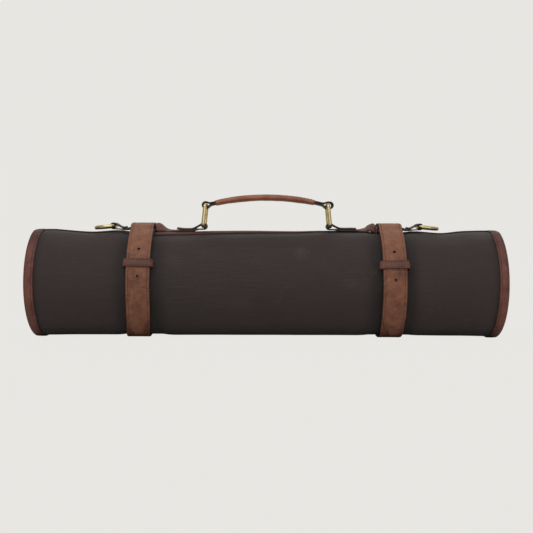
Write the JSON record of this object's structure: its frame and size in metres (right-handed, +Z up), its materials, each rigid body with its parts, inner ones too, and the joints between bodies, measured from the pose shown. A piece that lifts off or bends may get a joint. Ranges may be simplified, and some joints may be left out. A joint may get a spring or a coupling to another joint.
{
  "type": "carving tool roll",
  "caption": "Rolled canvas tool roll with leather edge binding, strapped shut, with brass rings and an arched leather carrying handle on top.",
  "frame": {"origin": "bottom centre of the roll, on the ground under the straps", "axes": "+X along the roll; -Y is the front, where the strap tips and keepers are; +Z up, towards the handle"},
  "size_m": [0.5, 0.1246, 0.1549],
  "materials": {
    "waxed_canvas": "waxed, dull, scuffed",
    "lining_cloth": "plain cotton",
    "pocket_canvas": "dull canvas",
    "binding_leather": "matt, creased at the fold",
    "strap_leather": "matt, mottled, burnished",
    "keeper_leather": "matt, worn",
    "dark_leather": "satin",
    "grip_leather": "satin, handled",
    "brass": "polished, slightly pale"
  },
  "bodies": {
    "roll": {"outer_canvas": "waxed_canvas", "lining": "lining_cloth", "pocket_panel": "pocket_canvas", "tool_flap": "pocket_canvas", "left_end_binding": "binding_leather", "right_end_binding": "binding_leather", "outer_edge_binding": "binding_leather", "inner_edge_binding": "binding_leather", "left_buckle_strap": "strap_leather", "right_buckle_strap": "strap_leather", "left_tip_strap": "strap_leather", "right_tip_strap": "strap_leather", "left_buckle_frame": "brass", "right_buckle_frame": "brass", "left_buckle_prong": "brass", "right_buckle_prong": "brass", "left_mount_strip": "dark_leather", "right_mount_strip": "dark_leather", "strap_rivets": "brass"},
    "left_ring": {"left_handle_ring": "brass"},
    "right_ring": {"right_handle_ring": "brass"},
    "handle": {"handle_strap": "dark_leather", "handle_grip": "grip_leather"},
    "left_d": {"left_d_ring": "brass"},
    "right_d": {"right_d_ring": "brass"},
    "left_loop": {"left_keeper": "keeper_leather"},
    "right_loop": {"right_keeper": "keeper_leather"}
  },
  "joints": [
    {"name": "handle_swing", "type": "hinge", "parent": "roll", "child": "left_ring", "pos_m": [-0.0687, 0, 0.1204], "axis": [0, 1, 0], "range_deg": [-50, 50]},
    {"name": "right_ring_swing", "type": "hinge", "parent": "roll", "child": "right_ring", "pos_m": [0.0687, 0, 0.1204], "axis": [0, 1, 0], "range_deg": [-50.5, 50.5]},
    {"name": "handle_level", "type": "hinge", "parent": "left_ring", "child": "handle", "pos_m": [-0.0663, 0, 0.1434], "axis": [0, 1, 0], "range_deg": [-52, 52]},
    {"name": "left_d_ring_flip", "type": "hinge", "parent": "roll", "child": "left_d", "pos_m": [-0.166, 0, 0.1204], "axis": [0, 1, 0], "range_deg": [0, 155]},
    {"name": "right_d_ring_flip", "type": "hinge", "parent": "roll", "child": "right_d", "pos_m": [0.166, 0, 0.1204], "axis": [0, -1, 0], "range_deg": [0, 155]},
    {"name": "left_keeper_slide", "type": "hinge", "parent": "roll", "child": "left_loop", "pos_m": [-0.132, 0, 0.059], "axis": [-1, 0, 0], "range_deg": [-50, 38]},
    {"name": "right_keeper_slide", "type": "hinge", "parent": "roll", "child": "right_loop", "pos_m": [0.132, 0, 0.059], "axis": [-1, 0, 0], "range_deg": [-50, 38]}
  ],
  "couplings": [
    {"joint": "right_ring_swing", "follows": "handle_swing", "ratio": 1},
    {"joint": "handle_level", "follows": "handle_swing", "ratio": -1.033}
  ]
}
